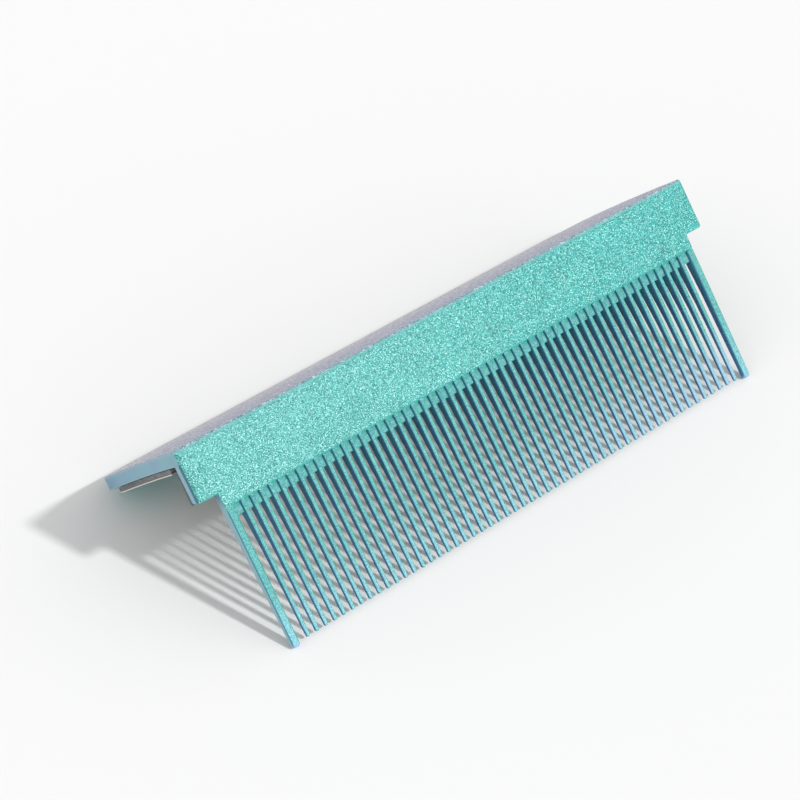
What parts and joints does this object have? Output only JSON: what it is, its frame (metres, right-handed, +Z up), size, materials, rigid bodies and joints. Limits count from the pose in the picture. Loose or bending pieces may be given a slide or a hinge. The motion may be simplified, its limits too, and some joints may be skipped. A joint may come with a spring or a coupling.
{
  "type": "stick-on fine-tooth comb attachment",
  "caption": "L-shaped fine-tooth comb moulding with foam tape pads inside the L, to stick onto a grooming or styling tool.",
  "frame": {"origin": "centre of the bounding box's bottom face, on the surface the comb rests on like a tent", "axes": "+X along the comb, +Z up, -Y towards the side that the front plate and the teeth face"},
  "size_m": [0.11, 0.0514, 0.0285],
  "materials": {
    "pearl_plastic": "turquoise pearlescent paint with fine glitter, mauve at grazing angles and blue on the tooth sides",
    "foam_tape": "grey closed-cell foam, fine pores",
    "release_liner": "pale coated paper with a slight sheen"
  },
  "bodies": {
    "root": {"comb_body": "pearl_plastic", "flange_foam_tape": "foam_tape", "flange_release_liner": "release_liner", "plate_foam_tape": "foam_tape", "plate_release_liner": "release_liner"}
  },
  "joints": []
}
